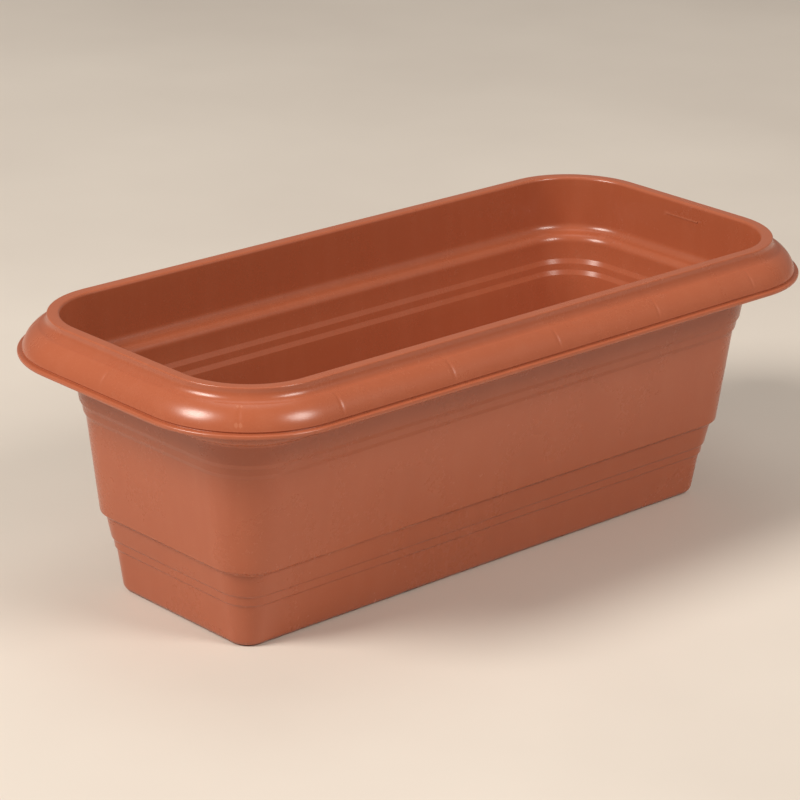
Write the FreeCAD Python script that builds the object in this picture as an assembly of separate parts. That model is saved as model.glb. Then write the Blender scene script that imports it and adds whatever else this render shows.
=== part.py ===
"""Window box planter: one moulded trough with a rolled rim, and six push-in drain plugs.

Sizes are in millimetres. +X runs along the box, +Y points to its back, +Z is up, and the
origin is under the middle of the base, on the ground.

The trough is drawn from its largest outline, the outer edge of the rim's lip. Every other
outline is that one moved inwards by an inset, so a point of the wall is written as
(inset, height).
"""
import FreeCAD, Part
import math
import os

V = FreeCAD.Vector
UP = V(0, 0, 1)

# ---- overall sizes ----
lip_length = 500.0
lip_width = 238.0
lip_corner_radius = 70.0
total_height = 173.5
wall = 2.2

# ---- rim, measured inwards from the lip's edge and down from the top ----
rim_depth = 23.9
lip_thickness = 2.6
lip_edge_round = 0.6
lip_reach = 2.8
groove_height = 1.2
groove_depth = 0.8
bullnose_width = 9.6
bullnose_drop = 7.8
bullnose_swell = 1.6
cove_width = 4.9
cove_sag = 1.6
bead_width = 7.7
bead_edge_drop = 1.6
bead_outer_round = 0.9
bead_inner_round = 2.0

# ---- gusset ribs in the hollow under the rim ----
rib_thickness = 1.6
rib_pitch = 84.0
rib_root_drop = 25.5
rib_bite = 0.6

# ---- collar and shoulder ----
collar_depth = 30.8
collar_lean = 0.6
shoulder_run = 10.1
shoulder_fall = 11.5

# ---- stepped wall: heights of its bands, from the shoulder down and from the ground up ----
step_fall = 3.0
lower_step_fall = 1.5
upper_band = 10.0
upper_step_gap = 4.0
lower_band = 13.75
lower_step_gap = 5.0
base_band = 26.75
upper_step_depth = 1.6
main_step_depth = 3.4
lower_step_depth = 1.2
upper_draft = 0.15
panel_draft = 0.12
band_draft = 0.21
base_draft = 0.15
corner_shrink = 0.92

# ---- base ----
base_edge_radius = 7.0
foot_ring_width = 8.0
floor_rise = 5.0
floor_corner_radius = 10.0
floor_edge_slope = 2.5
drain_notch_width = 12.0
drain_notch_height = 1.6

# ---- drain holes and their plugs ----
hole_radius = 6.0
hole_end_distance = 50.0
hole_side_distance = 13.0
holes_along = 3
holes_across = 2
boss_radius = 10.5
boss_drop = 1.8
plug_clearance = 0.05
plug_head_radius = 9.5
plug_head_thickness = 1.8
plug_head_round = 0.7
plug_bore_radius = 3.8
plug_tip_clear = 0.6
plug_tip_length = 1.2
plug_tip_taper = 0.5
tab_length = 9.0
tab_thickness = 2.4
tab_height = 7.0
tab_round = 0.9

QUARTER_TURN = 90
HALF_TURN = 180

# ---- places that follow from the sizes ----
half_length = lip_length / 2
half_width = lip_width / 2
lip_height = total_height - rim_depth
lip_top = lip_height + lip_thickness
bullnose_top_inset = lip_reach + bullnose_width
bead_inset = bullnose_top_inset + cove_width
collar_inset = bead_inset + bead_width
shoulder_top_height = total_height - collar_depth
shoulder_height = shoulder_top_height - shoulder_fall
shoulder_inset = collar_inset + collar_lean + shoulder_run - wall


def corner_radius(inset):
    """Corner radius of the wall's outside: parallel to the lip down to the shoulder, then rounder."""
    if inset <= shoulder_inset:
        return lip_corner_radius - inset
    return lip_corner_radius - shoulder_inset - corner_shrink * (inset - shoulder_inset)


def rounded_rectangle(half_x, half_y, radius, height):
    """Closed outline of four sides and four corner arcs, starting at the front side."""
    edges = []
    corners = ((1, -1, -QUARTER_TURN), (1, 1, 0), (-1, 1, QUARTER_TURN), (-1, -1, HALF_TURN))
    starts = ((-half_x + radius, -half_y), (half_x, -half_y + radius),
              (half_x - radius, half_y), (-half_x, half_y - radius))
    for (side_x, side_y, first_angle), (x, y) in zip(corners, starts):
        centre = V(side_x * (half_x - radius), side_y * (half_y - radius), height)
        arc = Part.Arc(Part.Circle(centre, UP, radius),
                       math.radians(first_angle), math.radians(first_angle + QUARTER_TURN))
        edges.append(Part.LineSegment(V(x, y, height), arc.StartPoint).toShape())
        edges.append(arc.toShape())
    return Part.Wire(edges)


def outline(inset, radius, height):
    """The lip's outline moved inwards by the inset, with its own corner radius."""
    return rounded_rectangle(half_length - inset, half_width - inset, radius, height)


# ================= wall =================

def wall_sections():
    """(inset, height) of the wall's outside, from the shoulder down to the ground."""
    above = upper_band + upper_step_gap + 2 * step_fall
    below = base_band + lower_step_gap + lower_band + step_fall + 2 * lower_step_fall
    panel = shoulder_height - above - below
    inset, height = shoulder_inset, shoulder_height
    sections = [(inset, height)]
    bands = ((upper_band, upper_draft, upper_step_depth, step_fall),
             (upper_step_gap, upper_draft, upper_step_depth, step_fall),
             (panel, panel_draft, main_step_depth, step_fall),
             (lower_band, band_draft, lower_step_depth, lower_step_fall),
             (lower_step_gap, base_draft, lower_step_depth, lower_step_fall))
    for band, draft, depth, fall in bands:
        inset += draft * band
        height -= band
        sections.append((inset, height))
        inset += depth
        height -= fall
        sections.append((inset, height))
    inset += base_draft * height
    sections.append((inset, 0.0))
    return sections


def stacked_solid(sections, skin, floor_height):
    """Solid through the wall's sections, each moved inwards by the skin, down to the floor height."""
    wires = []
    for number, (inset, height) in enumerate(sections):
        if number == len(sections) - 1:
            last_inset, last_height = sections[number - 1]
            share = (last_height - floor_height) / (last_height - height)
            inset = last_inset + share * (inset - last_inset)
            height = floor_height
        wires.append(outline(inset + skin, corner_radius(inset) - skin, height))
    return Part.makeLoft(wires[::-1], True, True)


def bottom_edges(solid):
    """Edges of a solid's lowest face."""
    low = solid.BoundBox.ZMin
    return [edge for edge in solid.Edges if edge.BoundBox.ZMax < low + 1e-4]


def floor_panel(inset, low, high):
    """Rounded block with sloped sides, for the raised middle of the floor."""
    foot = outline(inset, floor_corner_radius, low)
    top = outline(inset + floor_edge_slope, floor_corner_radius, high)
    return Part.makeLoft([foot, top], True, True)


def recess_inset():
    """Inset of the foot ring's inner edge on the ground."""
    return wall_sections()[-1][0] + base_edge_radius + foot_ring_width


def hole_places():
    """Centres of the drain holes, set in from the edges of the floor's raised middle."""
    edge_inset = recess_inset() + floor_edge_slope
    reach_x = half_length - edge_inset - hole_end_distance
    reach_y = half_width - edge_inset - hole_side_distance
    places = []
    for row in range(holes_across):
        for column in range(holes_along):
            x = reach_x * (2 * column / (holes_along - 1) - 1)
            y = reach_y * (2 * row / (holes_across - 1) - 1)
            places.append((x, y))
    return places


def make_trough():
    """Stepped wall with its floor, up to the shoulder."""
    sections = wall_sections()
    outside = stacked_solid(sections, 0.0, 0.0)
    outside = outside.makeFillet(base_edge_radius, bottom_edges(outside))
    inside = stacked_solid(sections, wall, wall)
    inside = inside.makeFillet(base_edge_radius - wall, bottom_edges(inside))

    plateau = floor_panel(recess_inset() - wall, 0.0, floor_rise + wall)
    recess = floor_panel(recess_inset(), 0.0, floor_rise)
    trough = outside.cut(inside.cut(plateau)).cut(recess)

    for x, y in hole_places():
        boss = Part.makeCylinder(boss_radius, boss_drop + wall / 2, V(x, y, floor_rise - boss_drop))
        trough = trough.fuse(boss)
    for x, y in hole_places():
        trough = trough.cut(Part.makeCylinder(hole_radius, floor_rise + 2 * wall, V(x, y, 0)))

    columns = [x for x, y in hole_places()[:holes_along]]
    for left, right in zip(columns, columns[1:]):
        notch = Part.makeBox(drain_notch_width, lip_width, drain_notch_height,
                             V((left + right - drain_notch_width) / 2, -half_width, 0))
        trough = trough.cut(notch)
    return trough


# ================= rim =================

def line(start, end):
    return Part.LineSegment(V(0, *start), V(0, *end)).toShape()


def arc(start, middle, end):
    return Part.Arc(V(0, *start), V(0, *middle), V(0, *end)).toShape()


def on_circle(centre, radius, angle):
    return (centre[0] + radius * math.cos(angle), centre[1] + radius * math.sin(angle))


def shoulder_arcs():
    """Ogee from the collar down to the wall: its inner face, then its outer face, as arc points."""
    top_inset = collar_inset + collar_lean
    foot_inset = shoulder_inset + wall
    half_run = (foot_inset - top_inset) / 2
    half_fall = (shoulder_top_height - shoulder_height) / 2
    radius = (half_run ** 2 + half_fall ** 2) / (2 * half_run)
    turn = math.asin(half_fall / radius)
    if half_run > radius:
        turn = math.pi - turn
    upper = (top_inset + radius, shoulder_top_height)
    lower = (foot_inset - radius, shoulder_height)
    faces = []
    for skin in (0.0, wall):
        first = [on_circle(upper, radius + skin, math.pi + part * turn) for part in (0, 0.5, 1)]
        second = [on_circle(lower, radius - skin, part * turn) for part in (1, 0.5, 0)]
        faces.append((first, second))
    return faces


def bulge(start, end, swell):
    """Centre, radius and middle angle of the arc between two points that swells to their left."""
    run = end[0] - start[0]
    rise = end[1] - start[1]
    chord = math.hypot(run, rise)
    radius = (chord ** 2 / 4 + swell ** 2) / (2 * swell)
    out = (-rise / chord, run / chord)
    hub = radius - swell
    centre = ((start[0] + end[0]) / 2 - out[0] * hub, (start[1] + end[1]) / 2 - out[1] * hub)
    return centre, radius, math.atan2(out[1], out[0])


def bullnose_arc(skin):
    """Three points of the arc that rounds the rim's outside, foot to top, moved in by the skin."""
    foot = (lip_reach, lip_top + groove_height)
    top = (bullnose_top_inset, total_height - bullnose_drop)
    centre, radius, middle = bulge(foot, top, bullnose_swell)
    half_turn = math.asin(math.dist(foot, top) / 2 / radius)
    angles = (middle + half_turn, middle, middle - half_turn)
    return [on_circle(centre, radius - skin, angle) for angle in angles]


def cove_middle(skin):
    """Middle of the hollow curve between the bullnose and the bead, moved in by the skin."""
    low = (bullnose_top_inset, total_height - bullnose_drop)
    high = (bead_inset, total_height - bead_edge_drop)
    centre, radius, middle = bulge(high, low, cove_sag)
    return on_circle(centre, radius + skin, middle)


def hollow_edges(skin):
    """Inside of the rim, from the bullnose's foot over the top to the collar, under a skin."""
    nose = bullnose_arc(skin)
    bead_side = (bead_inset + skin, total_height - skin)
    collar_corner = (collar_inset - skin, total_height - skin)
    edges = [arc(*nose), arc(nose[2], cove_middle(skin), bead_side), line(bead_side, collar_corner)]
    return edges, nose[0], collar_corner


def rim_face():
    """Cross-section of the rim, collar and shoulder, with the lip's outer edge at inset 0."""
    (inner_first, inner_second), (outer_first, outer_second) = shoulder_arcs()
    hollow, hollow_foot, hollow_corner = hollow_edges(wall)
    groove_inset = lip_reach + groove_depth
    nose = bullnose_arc(0.0)
    inner_turn = bead_inner_round * (1 - math.sqrt(0.5))
    inner_low = (collar_inset, total_height - bead_inner_round)
    inner_mid = (collar_inset - inner_turn, total_height - inner_turn)
    inner_top = (collar_inset - bead_inner_round, total_height)
    outer_top = (bead_inset + bead_outer_round, total_height)
    outer_low = (bead_inset, total_height - bead_edge_drop)
    outer_turn = bead_outer_round * (1 - math.sqrt(0.5))
    outer_mid = (bead_inset + outer_turn, total_height - outer_turn)
    edges = [
        line((collar_inset + collar_lean, shoulder_top_height), inner_low),
        arc(inner_low, inner_mid, inner_top),
        line(inner_top, outer_top),
        arc(outer_top, outer_mid, outer_low),
        arc(outer_low, cove_middle(0.0), nose[2]),
        arc(nose[2], nose[1], nose[0]),
        line(nose[0], (groove_inset, lip_top)),
        line((groove_inset, lip_top), (lip_edge_round, lip_top)),
        line((lip_edge_round, lip_top), (0.0, lip_top - lip_edge_round)),
        line((0.0, lip_top - lip_edge_round), (0.0, lip_height + lip_edge_round)),
        line((0.0, lip_height + lip_edge_round), (lip_edge_round, lip_height)),
        line((lip_edge_round, lip_height), (hollow_foot[0], lip_height)),
        line((hollow_foot[0], lip_height), hollow_foot),
        *hollow,
        line(hollow_corner, outer_first[0]),
        arc(*outer_first),
        arc(*outer_second),
        line(outer_second[2], inner_second[2]),
        arc(*inner_second[::-1]),
        arc(*inner_first[::-1]),
    ]
    return Part.Face(Part.Wire(edges))


def rib_face():
    """Cross-section of a gusset rib: it fills the rim's hollow and bites into the skin round it."""
    edges, foot, corner = hollow_edges(wall - rib_bite)
    root = (corner[0] + collar_lean, total_height - rib_root_drop)
    edges += [line(corner, root), line(root, foot)]
    return Part.Face(Part.Wire(edges))


def swept_round(face):
    """The cross-section carried round the whole lip outline: four sides and four corners."""
    run_x = half_length - lip_corner_radius
    run_y = half_width - lip_corner_radius
    front_face = face.translated(V(-run_x, -half_width, 0))
    pieces = [front_face.extrude(V(2 * run_x, 0, 0))]
    corner_face = face.translated(V(run_x, -half_width, 0))
    pieces.append(corner_face.revolve(V(run_x, -run_y, 0), UP, QUARTER_TURN))
    side_face = corner_face.copy()
    side_face.rotate(V(run_x, -run_y, 0), UP, QUARTER_TURN)
    pieces.append(side_face.extrude(V(0, 2 * run_y, 0)))
    back_face = side_face.translated(V(0, 2 * run_y, 0))
    pieces.append(back_face.revolve(V(run_x, run_y, 0), UP, QUARTER_TURN))
    for piece in list(pieces):
        turned = piece.copy()
        turned.rotate(V(0, 0, 0), UP, HALF_TURN)
        pieces.append(turned)
    return pieces


def ribs():
    """Gusset ribs along both long sides, at both ends and across each corner."""
    run_x = half_length - lip_corner_radius
    run_y = half_width - lip_corner_radius
    blade = rib_face().translated(V(-rib_thickness / 2, 0, 0)).extrude(V(rib_thickness, 0, 0))
    count = int(run_x // rib_pitch)
    placed = []
    for number in range(-count, count + 1):
        front = blade.translated(V(number * rib_pitch, -half_width, 0))
        placed.append(front)
    end = blade.translated(V(run_x, -half_width, 0))
    end.rotate(V(run_x, -run_y, 0), UP, QUARTER_TURN)
    placed.append(end.translated(V(0, run_y, 0)))
    corner_angle = QUARTER_TURN / 2
    for angle, shift in ((corner_angle, 0), (corner_angle + QUARTER_TURN, 2 * run_y)):
        corner = blade.translated(V(run_x, -half_width, 0))
        corner.rotate(V(run_x, -run_y, 0), UP, angle)
        placed.append(corner.translated(V(0, shift, 0)))
    for rib in list(placed):
        turned = rib.copy()
        turned.rotate(V(0, 0, 0), UP, HALF_TURN)
        placed.append(turned)
    return placed


def make_box():
    """The whole trough moulding as one solid."""
    rim = swept_round(rim_face())
    whole = make_trough().multiFuse(rim + ribs()).removeSplitter()
    return whole.Solids[0] if len(whole.Solids) == 1 else whole


# ================= drain plug =================

def make_plug(x, y):
    """Push-in plug: a flanged cup on a hollow shank, with a grip tab on top."""
    seat = floor_rise + wall
    shank_radius = hole_radius - plug_clearance
    tip = plug_tip_clear
    head_top = seat + plug_head_thickness
    points = [
        (plug_bore_radius, tip), (shank_radius - plug_tip_taper, tip),
        (shank_radius, tip + plug_tip_length), (shank_radius, seat),
        (plug_head_radius, seat), (plug_head_radius, head_top - plug_head_round),
        (plug_head_radius - plug_head_round, head_top), (0.0, head_top),
        (0.0, seat), (plug_bore_radius, seat), (plug_bore_radius, tip),
    ]
    profile = Part.makePolygon([V(radius, 0, height) for radius, height in points])
    plug = Part.Face(profile).revolve(V(0, 0, 0), UP, 360)
    tab = Part.makeBox(tab_length, tab_thickness, tab_height,
                       V(-tab_length / 2, -tab_thickness / 2, head_top - plug_head_thickness / 2))
    upright = [edge for edge in tab.Edges if edge.BoundBox.ZLength > tab_height / 2]
    tab = tab.makeFillet(tab_round, upright)
    return plug.fuse(tab).removeSplitter().translated(V(x, y, 0))


# ================= write every piece =================

def main():
    os.makedirs("parts", exist_ok=True)
    box = make_box()
    box.exportStep("parts/planter_box.step")
    print("planter_box", box.BoundBox, "solids", len(box.Solids), "valid", box.isValid(),
          "volume", round(box.Volume))
    for number, (x, y) in enumerate(hole_places(), start=1):
        plug = make_plug(x, y)
        plug.exportStep("parts/drain_plug_%d.step" % number)
        print("drain_plug_%d" % number, plug.BoundBox, "valid", plug.isValid())


main()
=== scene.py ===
# %% [markdown]
# # A window box planter, dressed in Blender
#
# A window box is one long plastic trough with a rolled rim, and a push-in plug in each drain
# hole of its floor. The construction is loaded as a fixed frame, in metres, and this lesson
# adds what the eye judges: soft edges, the finish of the moulded plastic, the floor, the light
# and the camera. Nothing is moved or resized: every size below is the real one, in
# millimetres, and is turned into metres where a mesh is made.

# %% Load the frame
import math

import bpy
import bmesh
from mathutils import Matrix, Vector


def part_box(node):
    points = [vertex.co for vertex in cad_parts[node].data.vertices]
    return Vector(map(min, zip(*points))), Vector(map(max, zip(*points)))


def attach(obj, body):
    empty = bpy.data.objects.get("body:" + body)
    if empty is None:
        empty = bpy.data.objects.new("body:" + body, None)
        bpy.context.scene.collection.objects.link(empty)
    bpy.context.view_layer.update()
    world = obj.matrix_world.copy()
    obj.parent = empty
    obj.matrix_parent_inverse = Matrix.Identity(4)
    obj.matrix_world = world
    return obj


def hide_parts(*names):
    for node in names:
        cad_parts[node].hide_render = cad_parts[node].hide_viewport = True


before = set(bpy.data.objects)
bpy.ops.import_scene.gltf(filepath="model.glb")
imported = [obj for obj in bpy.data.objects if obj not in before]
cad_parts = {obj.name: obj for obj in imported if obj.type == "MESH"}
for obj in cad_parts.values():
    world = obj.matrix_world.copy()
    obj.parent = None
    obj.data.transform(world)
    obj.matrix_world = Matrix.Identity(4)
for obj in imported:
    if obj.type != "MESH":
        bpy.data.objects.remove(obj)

MM = 0.001
scene = bpy.context.scene
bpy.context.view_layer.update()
box_low, box_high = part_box("planter_box")
LENGTH, WIDTH, HEIGHT = [(high - low) / MM for low, high in zip(box_low, box_high)]
HALF_LENGTH = LENGTH / 2
HALF_WIDTH = WIDTH / 2
PLUGS = sorted(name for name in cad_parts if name.startswith("drain_plug"))
print("box is %.1f x %.1f x %.1f mm with %d plugs" % (LENGTH, WIDTH, HEIGHT, len(PLUGS)))

# %% [markdown]
# ## The cross-section as a path
#
# The trough is thin everywhere, so it is fully told by one closed path: along the inside up to
# the rim, over the rim, back under it, down the outside and under the base. The path could be
# drawn as a Bézier curve, but a list of corners with a rounding at each is easier to keep true
# to the real sizes, because a moulding's drawing gives exactly that: straight walls and radii.
# A point of the path is an inset from the lip's outer edge and a height above the ground.

# %% Round the corners of a path
ARC_STEP = math.radians(11)
LONGEST_SPAN = 7.0
MOST_OF_A_RUN = 0.48


def rounded_path(corners):
    """Points of a path whose corners (inset, height, rounding) are replaced with arcs."""
    points = [Vector(corners[0][:2])]
    for before, corner, after in zip(corners, corners[1:], corners[2:]):
        here = Vector(corner[:2])
        back = Vector(before[:2]) - here
        ahead = Vector(after[:2]) - here
        turn = math.pi - back.angle(ahead)
        if corner[2] == 0 or turn < 1e-3:
            points.append(here)
            continue
        longest_reach = MOST_OF_A_RUN * min(back.length, ahead.length)
        reach = min(corner[2] * math.tan(turn / 2), longest_reach)
        radius = reach / math.tan(turn / 2)
        start = here + back.normalized() * reach
        end = here + ahead.normalized() * reach
        to_centre = (back.normalized() + ahead.normalized()).normalized()
        centre = here + to_centre * (radius / math.cos(turn / 2))
        steps = max(2, math.ceil(turn / ARC_STEP))
        for step in range(steps + 1):
            spoke = (start - centre).slerp(end - centre, step / steps)
            points.append(centre + spoke.normalized() * radius)
    points.append(Vector(corners[-1][:2]))
    return points


def spaced(points):
    """The same path with its long straight runs divided, so that shading stays even."""
    result = [points[0]]
    for start, end in zip(points, points[1:]):
        parts = max(1, math.ceil((end - start).length / LONGEST_SPAN))
        for part in range(1, parts + 1):
            result.append(start.lerp(end, part / parts))
    return result


# %% [markdown]
# ## The wall's sizes
#
# Seen from the side, the wall tapers and steps inwards five times on its way down. The steps
# stiffen the thin plastic, and let boxes nest in a stack. Each band has its own height and
# slope (draft), and each step its own depth. Real steps have soft edges of about a millimetre,
# because a sharp edge would not fill with plastic, so every corner gets a rounding.

# %% Wall sizes
WALL = 2.2
LIP_RADIUS = 70.0
RIM_DEPTH = 23.9
LIP_THICKNESS = 2.6
LIP_REACH = 2.8
GROOVE_DEPTH = 0.8
GROOVE_HEIGHT = 1.2
GROOVE_ROUND = 0.3
LIP_TOP_ROUND = 1.1
LIP_FOOT_ROUND = 1.0
LIP_INNER_ROUND = 0.5
HOLLOW_ROUND = 0.8
BULLNOSE_WIDTH = 9.6
BULLNOSE_DROP = 7.8
BULLNOSE_SWELL = 1.6
COVE_WIDTH = 4.9
COVE_SAG = 1.6
BEAD_WIDTH = 7.7
BEAD_EDGE_DROP = 1.6
BEAD_OUTER_ROUND = 0.75
BEAD_INNER_ROUND = 2.0
COLLAR_DEPTH = 30.8
COLLAR_LEAN = 0.6
SHOULDER_RUN = 10.1
SHOULDER_FALL = 11.5
STEP_FALL = 3.0
LOWER_STEP_FALL = 1.5
STEP_ROUNDING = 0.8
CORNER_SHRINK = 0.92
BASE_BAND = 26.75
LOWER_GAP = 5.0
LOWER_BAND = 13.75
UPPER_BAND = 10.0
UPPER_GAP = 4.0
EDGE_RADIUS = 7.0
RING_WIDTH = 8.0
FLOOR_RISE = 5.0
FLOOR_SLOPE = 2.5
FLOOR_RADIUS = 10.0

lip_height = HEIGHT - RIM_DEPTH
lip_top = lip_height + LIP_THICKNESS
bullnose_top_inset = LIP_REACH + BULLNOSE_WIDTH
bead_inset = bullnose_top_inset + COVE_WIDTH
collar_inset = bead_inset + BEAD_WIDTH
shoulder_top = HEIGHT - COLLAR_DEPTH
shoulder_height = shoulder_top - SHOULDER_FALL
shoulder_inset = collar_inset + COLLAR_LEAN + SHOULDER_RUN - WALL
panel = (shoulder_height - UPPER_BAND - UPPER_GAP - LOWER_BAND - LOWER_GAP - BASE_BAND
         - 3 * STEP_FALL - 2 * LOWER_STEP_FALL)
BANDS = (
    # height of the band, its slope, depth and fall of the step below it
    (UPPER_BAND, 0.15, 1.6, STEP_FALL),
    (UPPER_GAP, 0.15, 1.6, STEP_FALL),
    (panel, 0.12, 3.4, STEP_FALL),
    (LOWER_BAND, 0.21, 1.2, LOWER_STEP_FALL),
    (LOWER_GAP, 0.15, 1.2, LOWER_STEP_FALL),
)
BASE_SLOPE = 0.15


def wall_corners():
    """(inset, height) of the wall's outside, from the shoulder down to the ground."""
    inset, height = shoulder_inset, shoulder_height
    corners = []
    for band, slope, depth, fall in BANDS:
        inset += slope * band
        height -= band
        corners.append((inset, height))
        inset += depth
        height -= fall
        corners.append((inset, height))
    corners.append((inset + BASE_SLOPE * height, 0.0))
    return corners


outside_corners = wall_corners()
base_inset = outside_corners[-1][0]
print("main panel is %.1f mm high, base is inset by %.1f mm" % (panel, base_inset))

# %% [markdown]
# ## How the corners of the box change with height
#
# Seen from above, every outline is a rounded rectangle. Near the rim the outlines are parallel,
# so a corner's radius shrinks by as much as the inset grows. Below the shoulder the corners
# stay a little rounder than parallel ones would, which gives the box its soft, square foot. One
# small function for each stretch of the path says which radius belongs to an inset.

# %% Corner radius for each stretch of the path
def parallel(inset):
    return LIP_RADIUS - inset


def outer_radius(inset):
    return LIP_RADIUS - shoulder_inset - CORNER_SHRINK * (inset - shoulder_inset)


# %% [markdown]
# ## The rim's path
#
# From the inside out, the rim is a flat bead with a crisp outer edge, a deep cove that ends in a
# crease, a large bullnose, a groove, and a lip that stands out. Cove and bullnose are true arcs,
# worked out from their two ends and how far they swell, and the hollow under them is the same
# two arcs moved in by the thickness of the plastic.

# %% Rim, hollow and shoulder
BULLNOSE_STEPS = 26
COVE_STEPS = 14
OGEE_STEPS = 8


def swelling_arc(start, end, swell, skin=0.0, steps=BULLNOSE_STEPS):
    """Points of an arc from start to end that bulges by swell, moved in by the skin."""
    start, end = Vector(start), Vector(end)
    chord = end - start
    radius = (chord.length ** 2 / 4 + swell ** 2) / (2 * swell)
    out = Vector((-chord.y, chord.x)).normalized()
    centre = (start + end) / 2 - out * (radius - swell)
    first = math.atan2(start.y - centre.y, start.x - centre.x)
    last = math.atan2(end.y - centre.y, end.x - centre.x)
    turn = (last - first + math.pi) % (2 * math.pi) - math.pi
    angles = [first + turn * step / steps for step in range(steps + 1)]
    return [centre + (radius - skin) * Vector((math.cos(a), math.sin(a))) for a in angles]


def shoulder_curve(skin):
    """Ogee from the collar down to the wall, moved outwards by the skin."""
    half_run = SHOULDER_RUN / 2
    half_fall = SHOULDER_FALL / 2
    radius = (half_run ** 2 + half_fall ** 2) / (2 * half_run)
    turn = math.asin(half_fall / radius)
    upper = Vector((collar_inset + COLLAR_LEAN + radius, shoulder_top))
    lower = Vector((shoulder_inset + WALL - radius, shoulder_height))
    points = []
    for step in range(OGEE_STEPS + 1):
        angle = math.pi + turn * step / OGEE_STEPS
        points.append(upper + (radius + skin) * Vector((math.cos(angle), math.sin(angle))))
    for step in range(1, OGEE_STEPS + 1):
        angle = turn * (1 - step / OGEE_STEPS)
        points.append(lower + (radius - skin) * Vector((math.cos(angle), math.sin(angle))))
    return points


bullnose_foot = (LIP_REACH, lip_top + GROOVE_HEIGHT)
bullnose_top = (bullnose_top_inset, HEIGHT - BULLNOSE_DROP)
bead_edge = (bead_inset, HEIGHT - BEAD_EDGE_DROP)
bullnose = swelling_arc(bullnose_foot, bullnose_top, BULLNOSE_SWELL)
hollow = swelling_arc(bullnose_foot, bullnose_top, BULLNOSE_SWELL, skin=WALL)
cove = swelling_arc(bead_edge, bullnose_top, COVE_SAG, steps=COVE_STEPS)
bead = rounded_path([
    (collar_inset + COLLAR_LEAN, shoulder_top, 0),
    (collar_inset, HEIGHT, BEAD_INNER_ROUND),
    (bead_inset, HEIGHT, BEAD_OUTER_ROUND),
    (*bead_edge, 0),
])

lip_path = rounded_path([
    (*bullnose[0], 0),
    (LIP_REACH + GROOVE_DEPTH, lip_top, GROOVE_ROUND),
    (0.0, lip_top, LIP_TOP_ROUND),
    (0.0, lip_height, LIP_FOOT_ROUND),
    (hollow[0].x, lip_height, LIP_INNER_ROUND),
    (*hollow[0], 0),
])
print("rim path has %d points" % (len(bead) + len(cove) + len(bullnose) + len(lip_path)))

# %% [markdown]
# ## The whole path, with a radius for every point
#
# Now the stretches are joined into one path that starts on the raised middle of the floor and
# ends under it. The floor's middle stands 5 mm off the ground and has a gutter round it, so that
# the box rests on a narrow ring and does not rock. Each stretch carries the rule for its corner
# radius, and the bullnose also carries a small inward push for the sink marks that come later.

# %% Join the stretches
def wall_outside_radius(inset):
    return outer_radius(min(inset, base_inset)) - max(0.0, inset - base_inset)


def wall_inside_radius(inset):
    return wall_outside_radius(inset - WALL) - WALL


def floor_panel_radius(inset):
    return FLOOR_RADIUS


recess_inset = base_inset + EDGE_RADIUS + RING_WIDTH
floor_top = FLOOR_RISE + WALL
plateau_foot = recess_inset - WALL + FLOOR_SLOPE * WALL / floor_top
plateau_top = recess_inset - WALL + FLOOR_SLOPE
gutter_corner = base_inset - BASE_SLOPE * WALL + WALL
FLOOR_ROUNDING = 1.2
FLAT_MARGIN = 2.5
GUTTER_FLAT = 1.6
RING_FLAT = 1.5
HOLLOW_CLEARANCE = 0.3
SAME_POINT = 0.02

ring_start = base_inset + EDGE_RADIUS + RING_FLAT

floor_inside = rounded_path([
    (plateau_top + FLAT_MARGIN, floor_top, 0),
    (plateau_top, floor_top, FLOOR_ROUNDING),
    (plateau_foot, WALL, FLOOR_ROUNDING),
    (plateau_foot - GUTTER_FLAT, WALL, 0),
])
wall_inside = rounded_path(
    [(plateau_foot - GUTTER_FLAT, WALL, 0), (gutter_corner, WALL, EDGE_RADIUS - WALL)]
    + [(inset + WALL, height, STEP_ROUNDING) for inset, height in outside_corners[-2::-1]]
    + [(shoulder_inset + WALL, shoulder_height, 0)])
wall_outside = rounded_path(
    [(shoulder_inset, shoulder_height, 0)]
    + [(inset, height, STEP_ROUNDING) for inset, height in outside_corners[:-1]]
    + [(base_inset, 0.0, EDGE_RADIUS), (ring_start, 0.0, 0)])
floor_under = rounded_path([
    (ring_start, 0.0, 0),
    (recess_inset, 0.0, FLOOR_ROUNDING),
    (recess_inset + FLOOR_SLOPE, FLOOR_RISE, FLOOR_ROUNDING),
    (recess_inset + FLOOR_SLOPE + FLAT_MARGIN, FLOOR_RISE, 0),
])
cove_back = swelling_arc(bead_edge, bullnose_top, COVE_SAG, skin=-WALL)[::-1]
hollow_cove = [point for point in cove_back
               if point.x > hollow[-1].x + HOLLOW_CLEARANCE and point.y < HEIGHT - 2 * WALL]
hollow_roof = [hollow[-1]] + hollow_cove + rounded_path([
    (*hollow_cove[-1], 0),
    (bead_inset + WALL, HEIGHT - WALL, HOLLOW_ROUND),
    (collar_inset - WALL, HEIGHT - WALL, HOLLOW_ROUND),
    (collar_inset + COLLAR_LEAN - WALL, shoulder_top, 0),
])

STRETCHES = (
    ("floor_inside", floor_inside, floor_panel_radius),
    ("wall_inside", wall_inside, wall_inside_radius),
    ("shoulder_inside", shoulder_curve(0.0)[::-1], parallel),
    ("bead", bead, parallel),
    ("cove", cove, parallel),
    ("bullnose", bullnose[::-1], parallel),
    ("lip", lip_path, parallel),
    ("hollow", hollow, parallel),
    ("hollow_roof", hollow_roof, parallel),
    ("shoulder_outside", shoulder_curve(WALL), parallel),
    ("wall_outside", wall_outside, wall_outside_radius),
    ("floor_under", floor_under, floor_panel_radius),
)

path = []
for stretch, points, radius_rule in STRETCHES:
    for point in spaced(points):
        if path and (point - path[-1][0]).length < SAME_POINT:
            continue
        path.append((point, radius_rule(point.x), stretch))
print("the whole path has %d points" % len(path))

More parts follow.
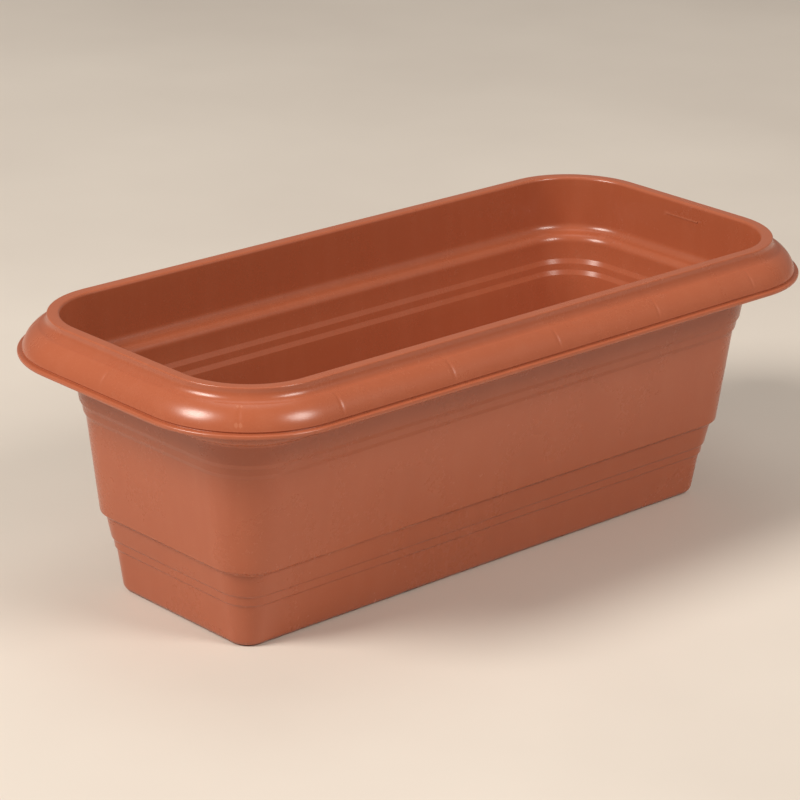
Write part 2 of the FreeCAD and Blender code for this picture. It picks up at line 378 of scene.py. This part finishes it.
# %% [markdown]
# ## Where the path is repeated round the box
#
# The path is swept round the box through a row of stations. Straight sides need few, but the
# faint marks over the ribs need several close together. The ribs stand in the hollow under the
# rim every 84 mm, one in the middle of each end and one across each corner. Each station notes
# its distance to the nearest rib, so ribs and marks come out of the same sweep and stay one
# skin, as in the real moulding. Separate rib plates pushed into the rim would be quicker, but
# they would leave hidden faces inside the plastic.

# %% Stations round the box
RIB_PITCH = 84.0
RIB_HALF = 0.8
NEAR_RIB = (0.0, 0.45, RIB_HALF, RIB_HALF + 0.06, 1.3, 1.9, 2.7, 3.8, 5.2)
RIB_CLEARANCE = 2.0
END_CLEARANCE = 0.5
NO_RIB_NEAR = 99.0
SIDE_SPACING = 7.5
CORNER_STEP = 3.75
CORNER_MIDDLE = 45
CORNER_CLEARANCE = 7
RIM_RADIUS = 50.0


def marks_along(reach, ribs):
    """Positions from -reach to reach: even ones, and close ones beside every rib."""
    close = [rib + way * gap for rib in ribs for gap in NEAR_RIB for way in (-1, 1)]
    even_count = math.ceil(2 * reach / SIDE_SPACING)
    even = [-reach + 2 * reach * n / even_count for n in range(even_count + 1)]
    even = [x for x in even if all(abs(x - rib) > NEAR_RIB[-1] + RIB_CLEARANCE for rib in ribs)]
    return sorted({round(x, 3) for x in close + even if abs(x) < reach - END_CLEARANCE})


def nearest(x, ribs):
    """Distance from a place on a side to its nearest rib."""
    return min((abs(x - rib) for rib in ribs), default=NO_RIB_NEAR)


long_reach = HALF_LENGTH - LIP_RADIUS
short_reach = HALF_WIDTH - LIP_RADIUS
rib_count = int(long_reach // RIB_PITCH)
long_ribs = [RIB_PITCH * n for n in range(-rib_count, rib_count + 1)]
stations = []      # (kind, corner or side number, share or angle, distance to the nearest rib)
for quarter in range(4):
    reach, ribs = ((long_reach, long_ribs), (short_reach, [0.0]))[quarter % 2]
    for x in marks_along(reach, ribs):
        stations.append(("side", quarter, x / reach, nearest(x, ribs)))
    even_angles = [CORNER_STEP * n for n in range(int(90 / CORNER_STEP) + 1)]
    angles = {round(a, 4) for a in even_angles if abs(a - CORNER_MIDDLE) > CORNER_CLEARANCE}
    angles |= {round(CORNER_MIDDLE + way * math.degrees(gap / RIM_RADIUS), 4)
               for gap in NEAR_RIB for way in (-1, 1)}
    for angle in sorted(angles):
        distance = abs(math.radians(angle - CORNER_MIDDLE)) * RIM_RADIUS
        stations.append(("corner", quarter, angle, distance))
print("stations round the box: %d" % len(stations))


def station_point(station, half_x, half_y, radius):
    """Where a station lies on a rounded rectangle, going round from the front side."""
    kind, quarter, value, _ = station
    run_x, run_y = half_x - radius, half_y - radius
    if kind == "side":
        return ((value * run_x, -half_y), (half_x, value * run_y),
                (-value * run_x, half_y), (-half_x, -value * run_y))[quarter]
    corners = ((run_x, -run_y), (run_x, run_y), (-run_x, run_y), (-run_x, -run_y))
    centre_x, centre_y = corners[quarter]
    angle = math.radians(value + 90 * (quarter - 1))
    return (centre_x + radius * math.cos(angle), centre_y + radius * math.sin(angle))


# %% [markdown]
# ## Ribs and sink marks
#
# Where a rib meets the back of the bullnose, the plastic is thicker and shrinks as it cools, so
# a faint dent shows on the outside. The photograph shows these as short light ticks across the
# rim. They could be faked with a bump texture, but a dent of a fifth of a millimetre in the mesh
# catches the light in the right way from every side. In a rib's own stations, the points of the
# hollow are dropped to the rib's foot line, which makes the rib solid.

# %% Sweep the path
SINK_DEPTH = 0.22
SINK_WIDTH = 1.1
DIAGONAL = 0.7
RIB_ROOT_DROP = 25.5
RIB_INTO_WALL = 0.6
ROUNDING_ERROR = 1e-3
MERGE_DISTANCE = 0.004
TINY_EDGE = 0.002
RIB_ROOT = (collar_inset + COLLAR_LEAN - WALL + RIB_INTO_WALL, HEIGHT - RIB_ROOT_DROP)
RIB_TIP = (hollow[0].x, bullnose_foot[1])


def rib_foot(inset):
    """Height of a rib's lower edge at an inset."""
    share = (inset - RIB_TIP[0]) / (RIB_ROOT[0] - RIB_TIP[0])
    return RIB_TIP[1] + share * (RIB_ROOT[1] - RIB_TIP[1])


def sunk(point, stretch, distance):
    """A path point at a station: sunk over a rib, or dropped to the rib's foot."""
    inset, height = point
    if stretch in ("hollow", "hollow_roof") and distance <= RIB_HALF + ROUNDING_ERROR:
        foot = rib_foot(inset)
        return (inset, min(height, foot)) if inset < RIB_ROOT[0] else (inset, height)
    if stretch == "bullnose":
        across = (bullnose_top[0] - inset) / BULLNOSE_WIDTH
        swell = math.sin(math.pi * min(max(across, 0.0), 1.0)) ** 0.5
        depth = SINK_DEPTH * math.exp(-(distance / SINK_WIDTH) ** 2) * swell
        return (inset + DIAGONAL * depth, height - DIAGONAL * depth)
    return (inset, height)


rows = []
vertices = []
for point, radius, stretch in path:
    row = []
    for station in stations:
        inset, height = sunk(point, stretch, station[3])
        corner = radius - (inset - point.x)
        x, y = station_point(station, HALF_LENGTH - inset, HALF_WIDTH - inset, corner)
        row.append(len(vertices))
        vertices.append((x * MM, y * MM, height * MM))
    rows.append(row)

faces = []
around = len(stations)
for lower, upper in zip(rows, rows[1:]):
    for here in range(around):
        there = (here + 1) % around
        faces.append((lower[here], upper[here], upper[there], lower[there]))
faces.append(tuple(rows[0]))
faces.append(tuple(rows[-1][::-1]))

shell_mesh = bpy.data.meshes.new("planter_shell")
shell_mesh.from_pydata(vertices, [], faces)
swept = bmesh.new()
swept.from_mesh(shell_mesh)
bmesh.ops.remove_doubles(swept, verts=swept.verts, dist=MERGE_DISTANCE * MM)
bmesh.ops.dissolve_degenerate(swept, edges=swept.edges, dist=TINY_EDGE * MM)
bmesh.ops.recalc_face_normals(swept, faces=swept.faces)
open_edges = sum(1 for edge in swept.edges if len(edge.link_faces) != 2)
swept.to_mesh(shell_mesh)
swept.free()
print("open edges after the sweep: %d" % open_edges)
shell = bpy.data.objects.new("planter_shell", shell_mesh)
scene.collection.objects.link(shell)
print("swept skin: %d vertices, %d faces" % (len(vertices), len(faces)))

# %% [markdown]
# ## Holes, bosses and notches
#
# The sweep makes everything that runs round the box. What stands alone on the floor is added
# and cut with two Boolean modifiers: first the bosses that thicken the floor round each drain
# hole, the round gate mark in the middle of the underside, and a slim bar inside the far end,
# then the holes and the notches that let water out from under the box. Gathering all the
# shapes in one cutter object keeps it at two slow Booleans, where one each would need sixteen.

# %% Add and cut the details
HOLE_RADIUS = 6.0
HOLE_END_DISTANCE = 50.0
HOLE_SIDE_DISTANCE = 13.0
BOSS_RADIUS = 10.5
BOSS_DROP = 1.8
GATE_RADIUS = 5.0
GATE_PROUD = 0.5
NOTCH_WIDTH = 12.0
NOTCH_HEIGHT = 1.6
BAR_HEIGHT_BELOW_TOP = 10.1
BAR_FROM, BAR_TO = -16.5, 10.8
BAR_THICK = 0.9
BAR_PROUD = 0.5
CYLINDER_SIDES = 64
SHARP_ABOVE = 32

hole_x = HALF_LENGTH - recess_inset - FLOOR_SLOPE - HOLE_END_DISTANCE
hole_y = HALF_WIDTH - recess_inset - FLOOR_SLOPE - HOLE_SIDE_DISTANCE
HOLES = [(x, y) for y in (-hole_y, hole_y) for x in (-hole_x, 0.0, hole_x)]


def add_cylinder(shape, x, y, radius, low, high):
    """Adds an upright cylinder to a bmesh, in millimetres."""
    place = Matrix.Translation(Vector((x, y, (low + high) / 2)) * MM)
    bmesh.ops.create_cone(shape, cap_ends=True, segments=CYLINDER_SIDES, radius1=radius * MM,
                          radius2=radius * MM, depth=(high - low) * MM, matrix=place)


def add_block(shape, low, high):
    """Adds a box between two corners to a bmesh, in millimetres."""
    low, high = Vector(low) * MM, Vector(high) * MM
    size = Matrix.Diagonal((*(high - low), 1.0))
    bmesh.ops.create_cube(shape, size=1.0, matrix=Matrix.Translation((low + high) / 2) @ size)


def helper_object(shape, name):
    """Turns a bmesh into an object."""
    mesh = bpy.data.meshes.new(name)
    shape.to_mesh(mesh)
    shape.free()
    made = bpy.data.objects.new(name, mesh)
    scene.collection.objects.link(made)
    return made


added = bmesh.new()
for x, y in HOLES:
    add_cylinder(added, x, y, BOSS_RADIUS, FLOOR_RISE - BOSS_DROP, FLOOR_RISE + WALL / 2)
add_cylinder(added, 0.0, 0.0, GATE_RADIUS, FLOOR_RISE - GATE_PROUD, FLOOR_RISE + WALL / 2)
bar_height = HEIGHT - BAR_HEIGHT_BELOW_TOP
bar_face = HALF_LENGTH - collar_inset - COLLAR_LEAN * BAR_HEIGHT_BELOW_TOP / COLLAR_DEPTH
add_block(added, (bar_face - BAR_PROUD, BAR_FROM, bar_height - BAR_THICK / 2),
          (bar_face + WALL / 2, BAR_TO, bar_height + BAR_THICK / 2))

removed = bmesh.new()
for x, y in HOLES:
    add_cylinder(removed, x, y, HOLE_RADIUS, FLOOR_RISE - 2 * BOSS_DROP, floor_top + WALL)
for x in (-hole_x / 2, hole_x / 2):
    add_block(removed, (x - NOTCH_WIDTH / 2, -HALF_WIDTH, -WALL),
              (x + NOTCH_WIDTH / 2, HALF_WIDTH, NOTCH_HEIGHT))

helpers = [helper_object(added, "details_to_add"), helper_object(removed, "details_to_cut")]
for helper, operation in zip(helpers, ("UNION", "DIFFERENCE")):
    boolean = shell.modifiers.new(operation.lower(), "BOOLEAN")
    boolean.object = helper
    boolean.operation = operation
    boolean.solver = "EXACT"

bpy.context.view_layer.update()
cut_shell = shell.evaluated_get(bpy.context.evaluated_depsgraph_get())
finished = bpy.data.meshes.new_from_object(cut_shell)
shell.modifiers.clear()
shell.data = finished
for helper in helpers:
    bpy.data.objects.remove(helper)

for polygon in finished.polygons:
    polygon.use_smooth = True
finished.set_sharp_from_angle(angle=math.radians(SHARP_ABOVE))
print("finished trough: %d faces" % len(finished.polygons))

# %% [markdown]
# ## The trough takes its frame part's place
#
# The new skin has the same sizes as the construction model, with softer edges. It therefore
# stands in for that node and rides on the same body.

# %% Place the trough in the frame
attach(shell, "box")
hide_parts("planter_box")
print("trough stands in for planter_box")

# %% [markdown]
# ## The moulded plastic
#
# The box is polypropylene coloured all the way through, with a satin skin. Its colour isn't one
# value: the pigment flows in faint streaks, thin dust dulls the broad faces, and handling
# polishes and pales the outer edges. An image texture could hold all this, but noise in object
# space needs no unwrapping, and it never stretches or repeats. The fine grain of the mould is
# only a bump, because its depth is a few hundredths of a millimetre.

# %% Node helpers
def add_node(tree, kind, **settings):
    """A shader node with its properties set."""
    made = tree.nodes.new(kind)
    for name, value in settings.items():
        setattr(made, name, value)
    return made


def noise(tree, place, scale, detail=3.0, roughness=0.5):
    """Noise over a position, scale in features per metre."""
    made = add_node(tree, "ShaderNodeTexNoise")
    made.inputs["Scale"].default_value = scale
    made.inputs["Detail"].default_value = detail
    made.inputs["Roughness"].default_value = roughness
    tree.links.new(place, made.inputs["Vector"])
    return made.outputs["Fac"]


def remap(tree, value, low, high, to_low, to_high):
    """Moves a value from one range to another, clamped."""
    made = add_node(tree, "ShaderNodeMapRange")
    ends = {"From Min": low, "From Max": high, "To Min": to_low, "To Max": to_high}
    for name, number in ends.items():
        made.inputs[name].default_value = number
    tree.links.new(value, made.inputs["Value"])
    return made.outputs["Result"]


def mix(tree, share, first, second, blend="MIX"):
    """Mixes two colours, each a socket or a plain colour."""
    made = add_node(tree, "ShaderNodeMix", data_type="RGBA", blend_type=blend)
    for value, name in ((share, "Factor"), (first, "A"), (second, "B")):
        socket = made.inputs[name]
        if isinstance(value, bpy.types.NodeSocket):
            tree.links.new(value, socket)
        else:
            socket.default_value = value
    return made.outputs["Result"]


def bump(tree, height, distance, after=None):
    """Bump of a height over a distance in metres, on top of an earlier one."""
    made = add_node(tree, "ShaderNodeBump")
    made.inputs["Strength"].default_value = 1.0
    made.inputs["Distance"].default_value = distance
    tree.links.new(height, made.inputs["Height"])
    if after is not None:
        tree.links.new(after, made.inputs["Normal"])
    return made.outputs["Normal"]


# %% Plastic material
PLASTIC = (0.40, 0.104, 0.045, 1.0)
PLASTIC_DARK = (0.33, 0.083, 0.038, 1.0)
PLASTIC_PALE = (0.56, 0.215, 0.125, 1.0)
DUST = (0.46, 0.25, 0.17, 1.0)


def plastic(name, tone, dust_share):
    """Satin moulded plastic with flow streaks, dust, paler edges and a fine mould grain."""
    material = bpy.data.materials.new(name)
    material.use_nodes = True
    tree = material.node_tree
    shader = tree.nodes["Principled BSDF"]
    place = add_node(tree, "ShaderNodeTexCoord").outputs["Object"]
    stretch = add_node(tree, "ShaderNodeMapping")
    stretch.inputs["Scale"].default_value = (1.0, 1.0, 0.12)
    tree.links.new(place, stretch.inputs["Vector"])

    cloud = noise(tree, place, 11.0, 4.0)
    streak = noise(tree, stretch.outputs["Vector"], 95.0, 3.0)
    speck = noise(tree, place, 900.0, 2.0)
    scuff = noise(tree, place, 210.0, 5.0, 0.7)

    colour = mix(tree, remap(tree, cloud, 0.35, 0.65, 0.0, 0.22), tone, PLASTIC_DARK)
    colour = mix(tree, remap(tree, streak, 0.45, 0.80, 0.0, 0.07), colour, PLASTIC_PALE)
    colour = mix(tree, remap(tree, speck, 0.62, 0.75, 0.0, 0.18), colour, PLASTIC_PALE)
    colour = mix(tree, remap(tree, scuff, 0.55, 0.95, 0.0, dust_share), colour, DUST)
    edge = add_node(tree, "ShaderNodeNewGeometry").outputs["Pointiness"]
    colour = mix(tree, remap(tree, edge, 0.515, 0.57, 0.0, 0.35), colour, PLASTIC_PALE)
    tree.links.new(colour, shader.inputs["Base Color"])

    rough = remap(tree, cloud, 0.3, 0.7, 0.24, 0.30)
    dusty = remap(tree, scuff, 0.45, 0.95, 0.0, 0.03)
    total = add_node(tree, "ShaderNodeMath", operation="ADD")
    tree.links.new(rough, total.inputs[0])
    tree.links.new(dusty, total.inputs[1])
    tree.links.new(total.outputs["Value"], shader.inputs["Roughness"])

    waves = bump(tree, noise(tree, place, 40.0, 1.0), 0.00007)
    grain = bump(tree, noise(tree, place, 1500.0, 2.0), 0.000012, after=waves)
    tree.links.new(grain, shader.inputs["Normal"])
    shader.inputs["IOR"].default_value = 1.49
    return material


box_finish = plastic("satin_terracotta_plastic", PLASTIC, 0.10)
plug_finish = plastic("darker_terracotta_plastic", PLASTIC_DARK, 0.12)
shell.data.materials.clear()
shell.data.materials.append(box_finish)
print("materials: %s, %s" % (box_finish.name, plug_finish.name))

# %% [markdown]
# ## The drain plugs
#
# Each plug is a flange with a grip tab, on a hollow shank. Its construction shape is right, so
# it stays and only gets its finish, and a fine bevel that takes the knife edge off every rim.

# %% Finish the plugs
PLUG_BEVEL = 0.25
BEVEL_ABOVE = 35
for name in PLUGS:
    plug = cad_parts[name]
    plug.data.materials.clear()
    plug.data.materials.append(plug_finish)
    soften = plug.modifiers.new("soft_edges", "BEVEL")
    soften.width = PLUG_BEVEL * MM
    soften.segments = 3
    soften.limit_method = "ANGLE"
    soften.angle_limit = math.radians(BEVEL_ABOVE)
print("finished %d plugs" % len(PLUGS))

# %% [markdown]
# ## Floor and light
#
# The setting is plain, so that nothing draws the eye from the box: one wide pale floor, and a
# faint even light from the room, which keeps the shadows soft. In the photograph the rounded
# rim shows two soft highlights on its near corner, one to each side. A highlight lies half-way
# between the eye and its lamp, so there is a large soft lamp to the left of the box and another
# to the front, and a third hangs overhead to fill the inside.

# %% Floor and world
FLOOR_COLOUR = (0.66, 0.60, 0.535, 1.0)
FLOOR_PALE = (0.72, 0.66, 0.59, 1.0)
FLOOR_ROUGHNESS = 0.6
FLOOR_HALF = 9.0
ROOM_COLOUR = (0.86, 0.78, 0.71, 1.0)
ROOM_LIGHT = 0.30

floor_shape = bmesh.new()
bmesh.ops.create_grid(floor_shape, x_segments=1, y_segments=1, size=FLOOR_HALF)
floor = helper_object(floor_shape, "stage_floor")
floor_paint = bpy.data.materials.new("pale_floor")
floor_paint.use_nodes = True
floor_tree = floor_paint.node_tree
floor_shader = floor_tree.nodes["Principled BSDF"]
floor_place = add_node(floor_tree, "ShaderNodeTexCoord").outputs["Object"]
floor_cloud = noise(floor_tree, floor_place, 3.0, 4.0)
floor_share = remap(floor_tree, floor_cloud, 0.3, 0.7, 0.0, 1.0)
floor_tone = mix(floor_tree, floor_share, FLOOR_COLOUR, FLOOR_PALE)
floor_tree.links.new(floor_tone, floor_shader.inputs["Base Color"])
floor_shader.inputs["Roughness"].default_value = FLOOR_ROUGHNESS
floor.data.materials.append(floor_paint)

world = bpy.data.worlds.new("pale_room")
world.use_nodes = True
scene.world = world
background = world.node_tree.nodes["Background"]
background.inputs["Color"].default_value = ROOM_COLOUR
background.inputs["Strength"].default_value = ROOM_LIGHT

# %% Lamps
LAMPS = (
    # name, azimuth and elevation in degrees, distance and width in metres, watts, colour
    ("lamp_left", -101.0, 42.0, 3.3, 1.25, 96.0, (1.0, 0.95, 0.88)),
    ("lamp_front", 15.0, 40.0, 3.4, 1.2, 54.0, (1.0, 0.95, 0.89)),
    ("lamp_above", 150.0, 78.0, 2.6, 1.8, 9.0, (1.0, 0.98, 0.95)),
)


def direction(azimuth, elevation):
    """Unit vector towards a lamp or camera. Azimuth 0 is in front of the box, 90 to its right."""
    a, e = math.radians(azimuth), math.radians(elevation)
    return Vector((math.sin(a) * math.cos(e), -math.cos(a) * math.cos(e), math.sin(e)))


aim = Vector((0.0, 0.0, HEIGHT * MM / 2))
for name, azimuth, elevation, distance, width, power, colour in LAMPS:
    light = bpy.data.lights.new(name, "AREA")
    light.shape = "DISK"
    light.size = width
    light.energy = power
    light.color = colour
    lamp = bpy.data.objects.new(name, light)
    scene.collection.objects.link(lamp)
    towards = direction(azimuth, elevation)
    lamp.location = aim + towards * distance
    lamp.rotation_mode = "QUATERNION"
    lamp.rotation_quaternion = towards.to_track_quat("Z", "Y")
print("lamps: %d" % len(LAMPS))

# %% [markdown]
# ## The camera
#
# The camera stands where the photograph was taken: to the left of the front, 20 degrees above
# the box, with a long lens, and turned by about one degree. These values come from matching the
# outlines of the rim, the steps and the base with a model of the box.

# %% Camera
CAMERA_AZIMUTH = -43.149
CAMERA_ELEVATION = 20.413
CAMERA_ROLL = 1.253
CAMERA_DISTANCE = 1.9625
CAMERA_TARGET = Vector((-0.00977, 0.00917, 0.08985))
SENSOR = 36.0
LENS = 144.87

eye = direction(CAMERA_AZIMUTH, CAMERA_ELEVATION)
camera_data = bpy.data.cameras.new("camera")
camera_data.sensor_width = SENSOR
camera_data.lens = LENS
camera = bpy.data.objects.new("camera", camera_data)
scene.collection.objects.link(camera)
right = Vector((math.cos(math.radians(CAMERA_AZIMUTH)), math.sin(math.radians(CAMERA_AZIMUTH)), 0.0))
up = eye.cross(right)
roll = math.radians(CAMERA_ROLL)
rolled_right = right * math.cos(roll) + up * math.sin(roll)
rolled_up = up * math.cos(roll) - right * math.sin(roll)
turn = Matrix((rolled_right, rolled_up, eye)).transposed().to_4x4()
camera.matrix_world = Matrix.Translation(CAMERA_TARGET + eye * CAMERA_DISTANCE) @ turn
scene.camera = camera
scene.view_settings.view_transform = "Standard"
print("camera at %s" % [round(value, 3) for value in camera.location])

# %% [markdown]
# ## Bring the scene up to date
#
# The dressed box must be as big as the frame's. The last line brings the scene up to date.

# %% Bring the scene up to date
bpy.context.view_layer.update()
